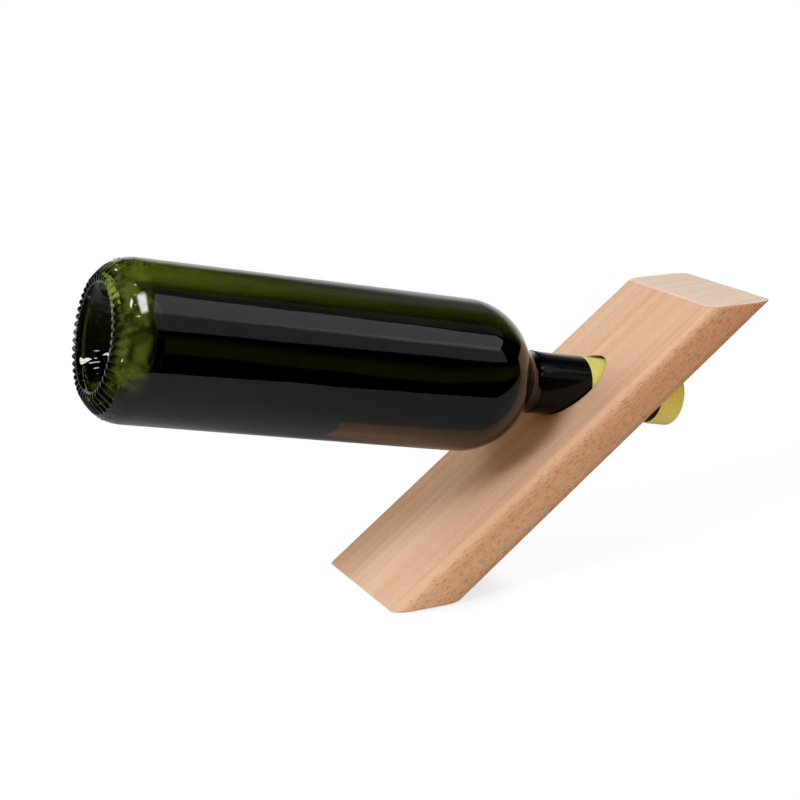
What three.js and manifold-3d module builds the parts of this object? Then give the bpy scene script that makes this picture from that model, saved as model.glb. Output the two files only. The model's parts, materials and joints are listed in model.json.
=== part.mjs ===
// Balancing wine bottle holder: a leaning beech plank whose slanted hole carries a full bottle by its neck.
// Millimetres, +Z up. The origin is the middle of the plank's foot, on the table, and +X runs up the lean.

import * as THREE from 'three';
import { mergeVertices } from 'three/addons/utils/BufferGeometryUtils.js';
import Module from 'manifold-3d';

const wasm = await Module();
wasm.setup();

// Plank
const PLANK_WIDTH = 80;
const PLANK_THICKNESS = 22.5;
const PLANK_HEIGHT = 130.5;
const PLANK_LEAN = THREE.MathUtils.degToRad(36.75);
const PLANK_EDGE_RADIUS = 6;

// Hole through the plank: its place up the upper face, and its play round the capsule
const HOLE_UP_THE_FACE = 148;
const HOLE_CLEARANCE = 0.9;

// Bottle outside, measured along its axis from the bearing ring of the base
const BOTTLE_DIP = THREE.MathUtils.degToRad(12);
const BOTTLE_LENGTH = 310;
const BODY_RADIUS = 37.5;
const SHOULDER_START = 186;
const SHOULDER_RADIUS = 33.5;
const NECK_FILLET_RADIUS = 12;
const NECK_ROOT_RADIUS = 14.8;
const NECK_TAPER = 6.5;
const NECK_RADIUS = 14.5;
const NECK_PAST_SHOULDER = 25.97;
const HEEL_HEIGHT = 16.8;
const HEEL_WIDTH = 12.8;
const RING_RADIUS = 28.4;
const PUNT_DEPTH = 24;
const PUNT_FULLNESS = 1.7;

// Finish at the mouth: a lip as wide as the neck, above a slight waist
const LIP_HEIGHT = 9;
const WAIST_HEIGHT = 22;
const WAIST_DEPTH = 0.6;
const WAIST_SLOPE = 4;

// Glass walls
const BODY_WALL = 2.6;
const BASE_WALL = 5;
const BORE_RADIUS = 9.5;

// Contents and closure
const AIR_DEPTH = 9;
const CORK_LENGTH = 45;
const CORK_INSET = 1.5;
const CAPSULE_PAST_ROOT = 0.5;
const CAPSULE_WALL = 0.6;
const CAPSULE_TOP_THICKNESS = 0.8;

// Gap that touching pieces keep, and how much more of it the punt's steep side takes when measured upwards
const SEAT_GAP = 0.3;
const PUNT_STEEPNESS = 2;

// Fineness of the turned pieces
const ROUND_SEGMENTS = 48;
const SHOULDER_STEPS = 8;
const FILLET_STEPS = 4;
const HEEL_STEPS = 6;
const PUNT_STEPS = 10;
const PLANK_EDGE_STEPS = 6;

// Colours, with roughness and metalness
const BEECH = { color: 0xd2ab86, roughness: 0.6, metalness: 0 };
const OLIVE_GLASS = { color: 0x1f2608, roughness: 0.08, metalness: 0 };
const PALE_WINE = { color: 0xb3a566, roughness: 0.1, metalness: 0 };
const CORK_BARK = { color: 0xb98d5d, roughness: 0.85, metalness: 0 };
const BLACK_FILM = { color: 0x0c0c0c, roughness: 0.45, metalness: 0 };
const GOLD_FILM = { color: 0xc4b24a, roughness: 0.45, metalness: 0 };

// Worked-out sizes
const footLength = PLANK_THICKNESS / Math.sin(PLANK_LEAN);
const capsuleRadius = NECK_RADIUS + SEAT_GAP + CAPSULE_WALL;
const holeRadius = capsuleRadius + HOLE_CLEARANCE;
const neckRoot = shoulderEnd(BODY_RADIUS, NECK_ROOT_RADIUS, SHOULDER_RADIUS, NECK_FILLET_RADIUS);
const taperEnd = neckRoot + NECK_TAPER;
const boreFillet = NECK_FILLET_RADIUS + NECK_ROOT_RADIUS - BORE_RADIUS;
const capsuleEnd = BOTTLE_LENGTH + SEAT_GAP + CAPSULE_TOP_THICKNESS;
const corkTop = BOTTLE_LENGTH - CORK_INSET;
const corkBottom = corkTop - CORK_LENGTH;

// Directions: up the plank's face, into the plank, and along the bottle from base to mouth
const upFace = new THREE.Vector3(Math.cos(PLANK_LEAN), 0, Math.sin(PLANK_LEAN));
const intoPlank = new THREE.Vector3(Math.sin(PLANK_LEAN), 0, -Math.cos(PLANK_LEAN));
const across = new THREE.Vector3(0, 1, 0);
const bottleAxis = new THREE.Vector3(Math.cos(BOTTLE_DIP), 0, -Math.sin(BOTTLE_DIP));
const belowAxis = new THREE.Vector3(-Math.sin(BOTTLE_DIP), 0, -Math.cos(BOTTLE_DIP));

// Places: the foot's front edge, the hole's centre on the upper face, and the centre of the bottle's base
const footFront = new THREE.Vector3(-footLength / 2, 0, 0);
const holeCentre = footFront.clone().addScaledVector(upFace, HOLE_UP_THE_FACE);
const bottleBase = holeCentre.clone()
  .addScaledVector(belowAxis, HOLE_CLEARANCE - SEAT_GAP)
  .addScaledVector(bottleAxis, -(neckRoot + NECK_PAST_SHOULDER));
const alongBottle = new THREE.Quaternion().setFromUnitVectors(across, bottleAxis);
const bottleMatrix = new THREE.Matrix4().compose(bottleBase, alongBottle, new THREE.Vector3(1, 1, 1));

// Closed geometry as a solid that can be cut, without the slivers that a turned profile leaves on its axis
function solidOf(geometry) {
  const bare = geometry.clone();
  bare.deleteAttribute('normal');
  bare.deleteAttribute('uv');
  const merged = mergeVertices(bare);
  const corners = Array.from(merged.index.array);
  const kept = [];
  for (let i = 0; i < corners.length; i += 3) {
    const [a, b, c] = corners.slice(i, i + 3);
    if (a !== b && b !== c && c !== a) kept.push(a, b, c);
  }
  return new wasm.Manifold(new wasm.Mesh({
    numProp: 3,
    vertProperties: new Float32Array(merged.attributes.position.array),
    triVerts: new Uint32Array(kept),
  }));
}

function geometryOf(solid) {
  const mesh = solid.getMesh();
  const geometry = new THREE.BufferGeometry();
  geometry.setAttribute('position', new THREE.BufferAttribute(mesh.vertProperties, 3));
  geometry.setIndex(new THREE.BufferAttribute(mesh.triVerts, 1));
  geometry.computeVertexNormals();
  return geometry;
}

function namedMesh(name, solid, look) {
  const mesh = new THREE.Mesh(geometryOf(solid), new THREE.MeshStandardMaterial(look));
  mesh.name = name;
  return mesh;
}

// Solid turned about the bottle's axis from [radius, height] points that end on the axis or close on themselves
function turned(profile) {
  const points = profile.map(([radius, height]) => new THREE.Vector2(radius, height));
  return solidOf(new THREE.LatheGeometry(points, ROUND_SEGMENTS));
}

// Angle through which the shoulder turns, so that its two arcs meet on one tangent
function shoulderTurn(fromRadius, toRadius, convex, concave) {
  return Math.acos(1 - (fromRadius - toRadius) / (convex + concave));
}

function shoulderEnd(fromRadius, toRadius, convex, concave) {
  return SHOULDER_START + (convex + concave) * Math.sin(shoulderTurn(fromRadius, toRadius, convex, concave));
}

// Shoulder from body to neck: an arc that falls away from the body, then one that runs out along the neck
function shoulder(fromRadius, toRadius, convex, concave) {
  const turn = shoulderTurn(fromRadius, toRadius, convex, concave);
  const end = shoulderEnd(fromRadius, toRadius, convex, concave);
  const points = [];
  for (let i = 0; i <= SHOULDER_STEPS; i++) {
    const angle = (turn * i) / SHOULDER_STEPS;
    points.push([fromRadius - convex * (1 - Math.cos(angle)), SHOULDER_START + convex * Math.sin(angle)]);
  }
  for (let i = FILLET_STEPS - 1; i >= 0; i--) {
    const angle = (turn * i) / FILLET_STEPS;
    points.push([toRadius + concave * (1 - Math.cos(angle)), end - concave * Math.sin(angle)]);
  }
  return points;
}

// Base from its middle outwards: the bell of the punt down to the ring, then a straight flank that touches the
// heel's ellipse and follows it up to the wall
function base(ringRadius, wallRadius, heelWidth, floor) {
  const heelStart = wallRadius - heelWidth;
  const touch = 2 * Math.atan(Math.max(0, ringRadius - heelStart) / heelWidth);
  const points = [];
  for (let i = 0; i <= PUNT_STEPS; i++) {
    const share = i / PUNT_STEPS;
    const rise = (1 + Math.cos(Math.PI * share ** PUNT_FULLNESS)) / 2;
    points.push([ringRadius * share, floor + PUNT_DEPTH * rise]);
  }
  for (let i = 0; i <= HEEL_STEPS; i++) {
    const angle = touch + ((Math.PI / 2 - touch) * i) / HEEL_STEPS;
    points.push([heelStart + heelWidth * Math.sin(angle), floor + HEEL_HEIGHT * (1 - Math.cos(angle))]);
  }
  return points;
}

// Neck above its taper, drawn in below the lip, at a given distance outside the glass
function neck(outside) {
  const wide = NECK_RADIUS + outside;
  const waist = wide - WAIST_DEPTH;
  const lipBottom = BOTTLE_LENGTH - LIP_HEIGHT;
  return [
    [wide, lipBottom - WAIST_HEIGHT - WAIST_SLOPE],
    [waist, lipBottom - WAIST_HEIGHT],
    [waist, lipBottom - WAIST_SLOPE],
    [wide, lipBottom],
  ];
}

// Inside of the glass drawn in by a distance, from the middle of its floor to a height in the bore
function cavity(inset, top) {
  const wall = BODY_RADIUS - BODY_WALL - inset;
  const bore = BORE_RADIUS - inset;
  const floor = BASE_WALL + PUNT_STEEPNESS * inset;
  return [
    ...base(RING_RADIUS, wall, HEEL_WIDTH - BODY_WALL, floor),
    ...shoulder(wall, bore, SHOULDER_RADIUS - BODY_WALL - inset, boreFillet + inset),
    [bore, top],
  ];
}

// Plank: a bar with rounded long edges along the lean, cut level at the table and at its top, then bored
function holderPlank() {
  const halfWidth = PLANK_WIDTH / 2;
  const edge = PLANK_EDGE_RADIUS;
  const section = new THREE.Shape();
  section.moveTo(0, -halfWidth + edge);
  section.absarc(edge, -halfWidth + edge, edge, Math.PI, Math.PI * 1.5, false);
  section.absarc(PLANK_THICKNESS - edge, -halfWidth + edge, edge, Math.PI * 1.5, Math.PI * 2, false);
  section.absarc(PLANK_THICKNESS - edge, halfWidth - edge, edge, 0, Math.PI / 2, false);
  section.absarc(edge, halfWidth - edge, edge, Math.PI / 2, Math.PI, false);
  section.closePath();

  const spare = PLANK_THICKNESS / Math.tan(PLANK_LEAN);
  const barLength = PLANK_HEIGHT / Math.sin(PLANK_LEAN) + 2 * spare;
  const bar = new THREE.ExtrudeGeometry(section, {
    depth: barLength,
    steps: 1,
    bevelEnabled: false,
    curveSegments: PLANK_EDGE_STEPS,
  });
  const barStart = footFront.clone().addScaledVector(upFace, -spare);
  const alongLean = new THREE.Matrix4().makeBasis(intoPlank, across, upFace).setPosition(barStart);
  bar.applyMatrix4(alongLean);

  const reach = 4 * barLength;
  const between = new THREE.BoxGeometry(reach, reach, PLANK_HEIGHT);
  between.translate(0, 0, PLANK_HEIGHT / 2);

  const drill = new THREE.CylinderGeometry(holeRadius, holeRadius, reach / 2, ROUND_SEGMENTS);
  drill.applyQuaternion(alongBottle);
  drill.translate(holeCentre.x, holeCentre.y, holeCentre.z);

  return solidOf(bar).intersect(solidOf(between)).subtract(solidOf(drill));
}

// Glass: punt, heel, body, shoulder and neck outside, then the lip and back down the bore and cavity
function bottleGlass() {
  const inside = cavity(0, BOTTLE_LENGTH).reverse();
  return turned([
    ...base(RING_RADIUS, BODY_RADIUS, HEEL_WIDTH, 0),
    ...shoulder(BODY_RADIUS, NECK_ROOT_RADIUS, SHOULDER_RADIUS, NECK_FILLET_RADIUS),
    [NECK_RADIUS, taperEnd],
    ...neck(0),
    [NECK_RADIUS, BOTTLE_LENGTH],
    ...inside,
  ]);
}

// Wine: the cavity below the cork, level at the top, where the air has gathered above the base
function wine() {
  const full = turned([...cavity(SEAT_GAP, corkBottom - SEAT_GAP), [0, corkBottom - SEAT_GAP]]);
  const roof = bottleBase.clone()
    .addScaledVector(bottleAxis, BASE_WALL + HEEL_HEIGHT)
    .addScaledVector(belowAxis, BODY_WALL - BODY_RADIUS).z;
  const reach = 4 * BOTTLE_LENGTH;
  const below = new THREE.BoxGeometry(reach, reach, reach);
  below.translate(0, 0, roof - AIR_DEPTH - reach / 2);
  below.applyMatrix4(bottleMatrix.clone().invert());
  return full.intersect(solidOf(below));
}

function cork() {
  const radius = BORE_RADIUS - SEAT_GAP;
  return turned([[0, corkBottom], [radius, corkBottom], [radius, corkTop], [0, corkTop]]);
}

// Capsule sleeve: a thin skin round the neck and its taper, open at its hem and round the top disc
function capsuleSleeve() {
  const hem = neckRoot + CAPSULE_PAST_ROOT;
  const inner = NECK_RADIUS + SEAT_GAP;
  const hemInner = NECK_ROOT_RADIUS + SEAT_GAP;
  const inside = neck(SEAT_GAP).reverse();
  return turned([
    [hemInner, hem],
    [hemInner + CAPSULE_WALL, hem],
    [capsuleRadius, taperEnd],
    ...neck(SEAT_GAP + CAPSULE_WALL),
    [capsuleRadius, capsuleEnd],
    [inner, capsuleEnd],
    ...inside,
    [inner, taperEnd],
    [hemInner, hem],
  ]);
}

// Capsule top: the disc over the mouth, inside the sleeve's end
function capsuleTop() {
  const radius = NECK_RADIUS;
  const bottom = BOTTLE_LENGTH + SEAT_GAP;
  return turned([[0, bottom], [radius, bottom], [radius, capsuleEnd], [0, capsuleEnd]]);
}

const bottle = new THREE.Group();
bottle.position.copy(bottleBase);
bottle.quaternion.copy(alongBottle);
bottle.add(namedMesh('bottle_glass', bottleGlass(), OLIVE_GLASS));
bottle.add(namedMesh('wine', wine(), PALE_WINE));
bottle.add(namedMesh('cork', cork(), CORK_BARK));
bottle.add(namedMesh('capsule_sleeve', capsuleSleeve(), BLACK_FILM));
bottle.add(namedMesh('capsule_top', capsuleTop(), GOLD_FILM));

const group = new THREE.Group();
group.add(namedMesh('holder_plank', holderPlank(), BEECH));
group.add(bottle);

export default group;
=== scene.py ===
"""Looks of a leaning beech bottle holder and the corked bottle that balances it.

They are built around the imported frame, in metres and in its own axes: +Z up, the middle of the plank's foot
at the origin.
"""

import json
import math

import bpy
import numpy as np
from bpy.props import FloatProperty, FloatVectorProperty, IntProperty, PointerProperty
from mathutils import Matrix, Quaternion, Vector


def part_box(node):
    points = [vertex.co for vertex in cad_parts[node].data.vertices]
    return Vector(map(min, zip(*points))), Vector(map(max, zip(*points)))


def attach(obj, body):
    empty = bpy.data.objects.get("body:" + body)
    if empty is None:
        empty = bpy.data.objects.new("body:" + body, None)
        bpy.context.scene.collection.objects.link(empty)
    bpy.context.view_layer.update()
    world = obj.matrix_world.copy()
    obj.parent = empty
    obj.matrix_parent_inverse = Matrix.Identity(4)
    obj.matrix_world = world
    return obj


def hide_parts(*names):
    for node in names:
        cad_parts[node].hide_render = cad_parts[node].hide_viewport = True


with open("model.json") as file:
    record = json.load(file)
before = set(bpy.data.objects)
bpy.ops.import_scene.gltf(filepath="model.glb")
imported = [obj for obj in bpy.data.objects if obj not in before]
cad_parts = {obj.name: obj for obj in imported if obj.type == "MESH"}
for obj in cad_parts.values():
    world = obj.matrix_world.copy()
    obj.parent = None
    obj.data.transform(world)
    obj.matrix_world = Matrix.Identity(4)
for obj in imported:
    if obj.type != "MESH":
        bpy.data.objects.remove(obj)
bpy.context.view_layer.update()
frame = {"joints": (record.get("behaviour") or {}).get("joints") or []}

bl_info = {
    "name": "Balancing Bottle Holder",
    "version": (1, 0, 0),
    "blender": (4, 5, 0),
    "location": "View3D > Sidebar > Bottle Holder",
    "description": "Builds a leaning beech bottle holder with its balanced bottle and a white studio",
    "category": "Object",
}

# Places read from the frame: the plank's box, and the line that the bottle turns about
PLANK_LOW, PLANK_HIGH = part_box("holder_plank")
FOOT_LENGTH = -2 * PLANK_LOW.x
PLANK_RISE = PLANK_HIGH.z
PLANK_RUN = PLANK_HIGH.x - PLANK_LOW.x - FOOT_LENGTH
PLANK_LEAN = math.atan2(PLANK_RISE, PLANK_RUN)
SPIN = next(joint for joint in frame["joints"] if joint["name"] == "bottle_spin")
BOTTLE_BASE = np.array(SPIN["pos_m"])
BOTTLE_AXIS = np.array(SPIN["axis"])
ACROSS = np.array([0.0, 1.0, 0.0])
ABOVE_AXIS = np.cross(BOTTLE_AXIS, ACROSS)

# Fineness of the surfaces, and the angle from which an edge stays sharp
SHARP_ANGLE = math.radians(35)
ROUNDING_STEPS = 4
RIM_ROWS = 4
BORE_ROWS = 8
RING_ROWS = 7
SLOPE_ROWS = 5
CREASE_ROWS = 9
DISC_ROWS = 24
OUTSIDE_ROWS = {"punt": 26, "heel": 44, "shoulder": 26}
INSIDE_ROWS = {"punt": 20, "heel": 10, "shoulder": 16}
COLUMNS = {"wine": 160, "cork": 64, "sleeve": 192, "disc": 128}
FLOOR_GRID = (9, 97)


# Settings

def length(name, description, default):
    """A length in metres for the sidebar."""
    return FloatProperty(name=name, description=description, default=default, unit="LENGTH", precision=5)


def share(name, description, default):
    """A plain factor from 0 to 1 for the sidebar."""
    return FloatProperty(name=name, description=description, default=default, min=0, max=1, subtype="FACTOR")


def count(name, description, default):
    """A whole number for the sidebar."""
    return IntProperty(name=name, description=description, default=default, min=3)


def colour(name, description, default):
    """A linear colour for the sidebar."""
    return FloatVectorProperty(name=name, description=description, default=default, size=3, subtype="COLOR")


def point(name, description, default):
    """A place in metres for the sidebar."""
    return FloatVectorProperty(
        name=name, description=description, default=default, size=3, subtype="TRANSLATION")


def slant(name, description, degrees):
    """An angle for the sidebar, given in degrees."""
    return FloatProperty(name=name, description=description, default=math.radians(degrees), subtype="ANGLE")


class PlankSettings(bpy.types.PropertyGroup):
    """Sizes and colours of the beech plank."""

    edge_radius: length("Edge radius", "Rounding of the four long edges", 0.006)
    end_round: length("End rounding", "Small rounding of the cut ends", 0.0005)
    corner_round: length("Corner rounding", "Rounding of the outline's four corners", 0.0010)
    hole_radius: length("Hole radius", "Radius of the slanted hole", 0.0163)
    hole_lift: length("Hole lift", "Height of the hole's axis over the bottle's axis", 0.0006)
    rim_round: length("Rim rounding", "Small rounding of the hole's rims", 0.0006)
    edge_steps: count("Edge steps", "Faces round one long edge", 9)
    outline_steps: count("Outline steps", "Columns along each side of the outline", 64)
    early_wood: colour("Early wood", "Pale colour between the growth rings", (0.675, 0.435, 0.275))
    late_wood: colour("Late wood", "Darker colour of the growth rings", (0.54, 0.315, 0.18))
    fleck: colour("Fleck", "Dark ray flecks on the narrow sides", (0.24, 0.105, 0.045))
    fleck_slant: slant("Fleck slant", "Turn of the flecks from the lean", 3)
    flake: colour("Flake", "Pale flakes on the wide faces", (0.70, 0.52, 0.38))
    blush: colour("Blush", "Tint of the redder patches", (1.0, 0.96, 0.95))
    # The cut ends' colours are end grain paled by painted light from above on the top end
    end_pale_and_light: colour("End pale", "Pale wood of the cut ends", (0.93, 0.74, 0.57))
    end_ring_and_light: colour("End ring", "Rings on the cut ends", (0.83, 0.63, 0.47))


class BottleSettings(bpy.types.PropertyGroup):
    """Sizes of the glass bottle, along its axis from the bearing ring, and colours of glass and wine."""

    length: length("Length", "Base to mouth", 0.310)
    body_radius: length("Body radius", "Outside radius of the body", 0.0374)
    shoulder_start: length("Shoulder start", "Where the body begins to narrow", 0.186)
    shoulder_radius: length("Shoulder radius", "Arc that falls away from the body", 0.0335)
    fillet_radius: length("Fillet radius", "Arc that runs out into the neck", 0.012)
    root_radius: length("Root radius", "Neck radius at its root", 0.01535)
    neck_taper: length("Neck taper", "Length over which the neck narrows", 0.0065)
    neck_radius: length("Neck radius", "Neck radius above the taper", 0.0151)
    heel_height: length("Heel height", "Height of the rounded heel", 0.0168)
    heel_width: length("Heel width", "Reach of the rounded heel in from the wall", 0.0128)
    ring_radius: length("Ring radius", "Radius of the bearing ring", 0.0284)
    ring_width: length("Ring width", "How far the flat of the bearing ring reaches in", 0.0016)
    ring_round: length("Ring rounding", "Radius of the bearing ring's own rounding", 0.002)
    punt_depth: length("Punt depth", "Depth of the hollow in the base", 0.024)
    punt_fullness: FloatProperty(
        name="Punt fullness", description="How far out the hollow stays deep, 1 for a plain wave",
        default=1.7)
    punt_end: share("Punt end", "Share of the ring's radius at which the punt meets the ring", 0.955)
    body_wall: length("Body wall", "Glass thickness of the body", 0.0026)
    base_wall: length("Base wall", "Glass thickness under the wine", 0.005)
    bore_radius: length("Bore radius", "Inside radius of the neck", 0.0095)
    knurl_depth: length("Knurl depth", "Depth of the grooves round the bearing ring", 0.0014)
    knurl_inner: length("Knurl inner end", "Radius at which the ribs begin", 0.0246)
    knurl_outer: length("Knurl outer end", "Radius at which the ribs end", 0.0343)
    knurls: count("Knurls", "Ribs round the bearing ring", 48)
    steps_per_knurl: count("Steps per knurl", "Columns of faces for each rib", 10)
    dot_height: length("Dot height", "Height of the mould dots on the heel", 0.0004)
    dot_radius: length("Dot radius", "Radius of the mould dots", 0.0010)
    dot_place: length("Dot place", "Distance of the dots from the base", 0.0085)
    dots: count("Dots", "Mould dots round the heel", 40)
    air_depth: length("Air depth", "Depth of the air pocket over the wine", 0.009)
    cork_length: length("Cork length", "Length of the cork", 0.045)
    cork_inset: length("Cork inset", "Depth of the cork below the mouth", 0.0015)
    # Painted glow: the matt share of the heel stands in for light shining through the thick glass
    painted_heel_glow: share("Heel haze", "Share of light that the thick glass of the heel scatters", 0.135)
    dents: length("Dents", "Depth of the uneven places in the punt", 0.0006)
    swell: length("Swell", "Height of the shallow swell round the punt", 0.0004)
    swell_place: length("Swell place", "Radius of the swell's crest", 0.0206)
    swell_pitch: length("Swell pitch", "Distance from one crest to the next", 0.011)
    glass: colour("Glass", "Colour that the olive glass lets through", (0.22, 0.29, 0.035))
    wet_wall: colour("Wetted wall", "Colour that the inside of the glass lets through", (0.62, 0.62, 0.50))
    wine: colour("Wine", "Colour that the wine lets through", (0.50, 0.46, 0.40))


class CapsuleSettings(bpy.types.PropertyGroup):
    """Sizes of the capsule's film, along the bottle's axis, and its colours."""

    past_root: length("Hem past root", "Distance of the hem above the neck's root", 0.0007)
    clearance: length("Clearance", "Gap between glass and film", 0.00005)
    film: length("Film", "Thickness of the film", 0.00025)
    top_thickness: length("Top thickness", "Thickness of the disc over the mouth", 0.0008)
    lip_height: length("Lip height", "Height of the lip under the film", 0.009)
    waist_height: length("Waist height", "Height of the drawn-in waist below the lip", 0.022)
    waist_depth: length("Waist depth", "How far the waist is drawn in", 0.0006)
    waist_slope: length("Waist slope", "Length of the slope at each end of the waist", 0.004)
    band_start: length("Band start", "Where the first gold band starts", 0.2542)
    band_end: length("Band end", "Where the first gold band ends", 0.276)
    cap_start: length("Cap start", "Where the gold end of the capsule starts", 0.298)
    crease: length("Crease", "Where the film is creased under the top", 0.3045)
    crease_width: length("Crease width", "Half the width of the crease", 0.0009)
    crease_depth: length("Crease depth", "How far the crease is pressed in", 0.0002)
    black: colour("Black film", "Colour of the black film", (0.002, 0.002, 0.002))
    gold: colour("Gold film", "Colour of the pale gold film", (0.81, 0.80, 0.21))


class StudioSettings(bpy.types.PropertyGroup):
    """Camera, floor and lights of the white studio."""

    camera_place: point("Camera place", "Where the camera stands", (-0.351464, -0.740607, 0.324800))
    camera_aim: point("Camera aim", "Point in the middle of the picture", (0.003952, 0.0, 0.092570))
    camera_roll: slant("Camera roll", "Turn about the line of sight", -0.245)
    camera_lens: FloatProperty(
        name="Camera lens", description="Focal length on a 36 mm wide sensor", default=79.734)
    floor_front: length("Floor front", "How far the floor reaches towards the camera", 0.245)
    floor_back: length("Floor back", "How far the floor reaches behind the foot", 0.212)
    floor_slant: share("Floor slant", "Slope of the floor's back edge across the picture", 0.285)
    floor_fade: length("Floor fade", "Length over which the floor fades to its back edge in the glass", 0.06)
    slant_side: length("Slant side", "How far to each side the back edge slopes", 0.22)
    floor_side: length("Floor side", "How far the floor reaches to each side", 1.2)
    floor_white: share("Floor white", "Reflectance of the floor", 0.80)
    floor_lift: share("Floor lift", "White added to the floor in the picture itself", 0.94)
    floor_seen: share("Floor seen", "Reflectance of the floor in the picture itself", 0.10)
    contact_reach: length("Contact reach", "Width of the soft shadow beside the foot", 0.022)
    contact_shade: share("Contact shade", "Depth of the soft shadow beside the foot", 0.17)
    floor_mirrored: share("Floor mirrored", "White of the floor that shiny surfaces mirror", 0.33)
    floor_dull: share("Floor dull", "Brightness of the right part of the floor in the glass", 0.28)
    high_sky: colour("High sky", "Light from above on matt surfaces", (0.43, 0.40, 0.36))
    low_room: colour("Low room", "Light from the sides on matt surfaces", (0.50, 0.25, 0.12))
    back_glow: share("Back glow", "White behind the object that shiny surfaces mirror", 0.8)
    veil: share("Veil", "Grey that the top of the bottle mirrors towards its neck", 0.2)
    heel_glow: share("Heel glow", "Light that shines through the punt", 0.5)
    room_glow: share("Room glow", "Faint light that comes straight through the body", 0.06)


# Surfaces worked out as whole arrays

def quad_indices(rows, columns, close_rows):
    """Corners of the quads of a grid of points whose columns always close, and whose rows may."""
    index = np.arange(rows * columns).reshape(rows, columns)
    if close_rows:
        index = np.vstack([index, index[:1]])
    beside = np.roll(index, -1, axis=1)
    return np.stack([index[:-1], beside[:-1], beside[1:], index[1:]], axis=-1).reshape(-1, 4)


def signed_volume(points, triangles):
    """Volume inside a closed surface: a sixth of the sum of the triple products of its triangles."""
    a, b, c = (points[triangles[:, k]] for k in range(3))
    return float(np.einsum("ij,ij->", a, np.cross(b, c)) / 6)


def surface_object(name, points, quads, triangles=None):
    """Mesh object from whole arrays, with its faces turned outwards and smooth up to its real edges."""
    if triangles is None:
        triangles = np.zeros((0, 3), int)
    halves = np.vstack([quads[:, [0, 1, 2]], quads[:, [0, 2, 3]], triangles])
    if signed_volume(points, halves) < 0:
        quads, triangles = quads[:, ::-1], triangles[:, ::-1]
    mesh = bpy.data.meshes.new(name)
    mesh.from_pydata(points.tolist(), [], quads.tolist() + triangles.tolist())
    mesh.shade_smooth()
    mesh.set_sharp_from_angle(angle=SHARP_ANGLE)
    mesh.update()
    piece = bpy.data.objects.new(name, mesh)
    bpy.context.scene.collection.objects.link(piece)
    return piece


def around_bottle(along, radius, angle):
    """Points at a distance along the bottle's axis, a radius from it and an angle round it."""
    ring = np.cos(angle)[..., None] * ACROSS + np.sin(angle)[..., None] * ABOVE_AXIS
    return BOTTLE_BASE + along[..., None] * BOTTLE_AXIS + radius[..., None] * ring


def turned_object(name, along, radius, angle, closed=False):
    """Profile carried round the bottle's axis: each row is a circle.

    Unless the profile closes on itself, its first and last rows are single poles on the axis.
    """
    shape = np.broadcast_shapes(along.shape, radius.shape, angle.shape)
    along, radius, angle = (np.broadcast_to(a, shape) for a in (along, radius, angle))
    points = around_bottle(along, radius, angle)
    rows, columns = shape
    if closed:
        return surface_object(name, points.reshape(-1, 3), quad_indices(rows, columns, True))
    inner = points[1:-1].reshape(-1, 3)
    quads = quad_indices(rows - 2, columns, False)
    first, last = len(inner), len(inner) + 1
    ring = np.arange(columns)
    beside = np.roll(ring, -1)
    end = ring + (rows - 3) * columns
    start_fan = np.stack([np.full(columns, first), beside, ring], axis=-1)
    end_fan = np.stack([np.full(columns, last), end, np.roll(end, -1)], axis=-1)
    poles = np.stack([points[0, 0], points[-1, 0]])
    return surface_object(name, np.vstack([inner, poles]), quads, np.vstack([start_fan, end_fan]))


def circle_angles(columns):
    """Even angles round a circle, as one row."""
    return np.linspace(0, 2 * np.pi, columns, endpoint=False)[None, :]


def quarter_turn(steps):
    """Even angles from 0 to a right angle."""
    return np.linspace(0, np.pi / 2, steps + 1)


def column(*parts):
    """Lengths or radii of a profile, joined end to end as one column."""
    return np.concatenate([np.atleast_1d(part) for part in parts])[:, None]


def smooth_step(low, high, value):
    """Rises from 0 at low to 1 at high along a cubic with level ends."""
    t = np.clip((value - low) / (high - low), 0, 1)
    return t * t * (3 - 2 * t)


# Plank

def plank_section(settings, thickness):
    """Depth below the front face and inset from the side, across one narrow side of the plank.

    They follow a quarter circle, a flat and another quarter circle.
    """
    turn = quarter_turn(settings.edge_steps)
    depth = settings.edge_radius * (1 - np.cos(turn))
    inset = settings.edge_radius * (1 - np.sin(turn))
    return np.concatenate([depth, thickness - depth[::-1]]), np.concatenate([inset, inset[::-1]])


def plank_outline(settings, half_width):
    """Across and up of the plank's outline: a rectangle with slightly rounded corners, one row of points."""
    steps, corner = settings.outline_steps, settings.corner_round
    flat = half_width - corner
    straight = (1 - np.cos(np.linspace(0, np.pi, steps))) / 2
    bend = quarter_turn(ROUNDING_STEPS)[1:-1]
    across, up = np.cos(bend), np.sin(bend)
    y = np.concatenate([
        -flat + 2 * flat * straight, flat + corner * np.sin(bend),
        np.full(steps, half_width), flat + corner * across,
        flat - 2 * flat * straight, -flat - corner * np.sin(bend),
        np.full(steps, -half_width), -flat - corner * across])
    rise = PLANK_RISE - 2 * corner
    z = np.concatenate([
        np.zeros(steps), corner - corner * np.cos(bend),
        corner + rise * straight, PLANK_RISE - corner + corner * up,
        np.full(steps, PLANK_RISE), PLANK_RISE - corner + corner * np.cos(bend),
        corner + rise * (1 - straight), corner - corner * up])
    return y, z


def square_reach(offset):
    """Length of each offset square to the bottle's axis: what is left without its part along the axis."""
    return np.linalg.norm(offset - np.outer(offset @ BOTTLE_AXIS, BOTTLE_AXIS), axis=1)


def hole_row(centre, border, radius):
    """Points of a face round the hole, each towards its border point and at a radius from the hole's axis."""
    out = border - centre
    return centre + out * (radius / square_reach(out))[:, None]


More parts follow.
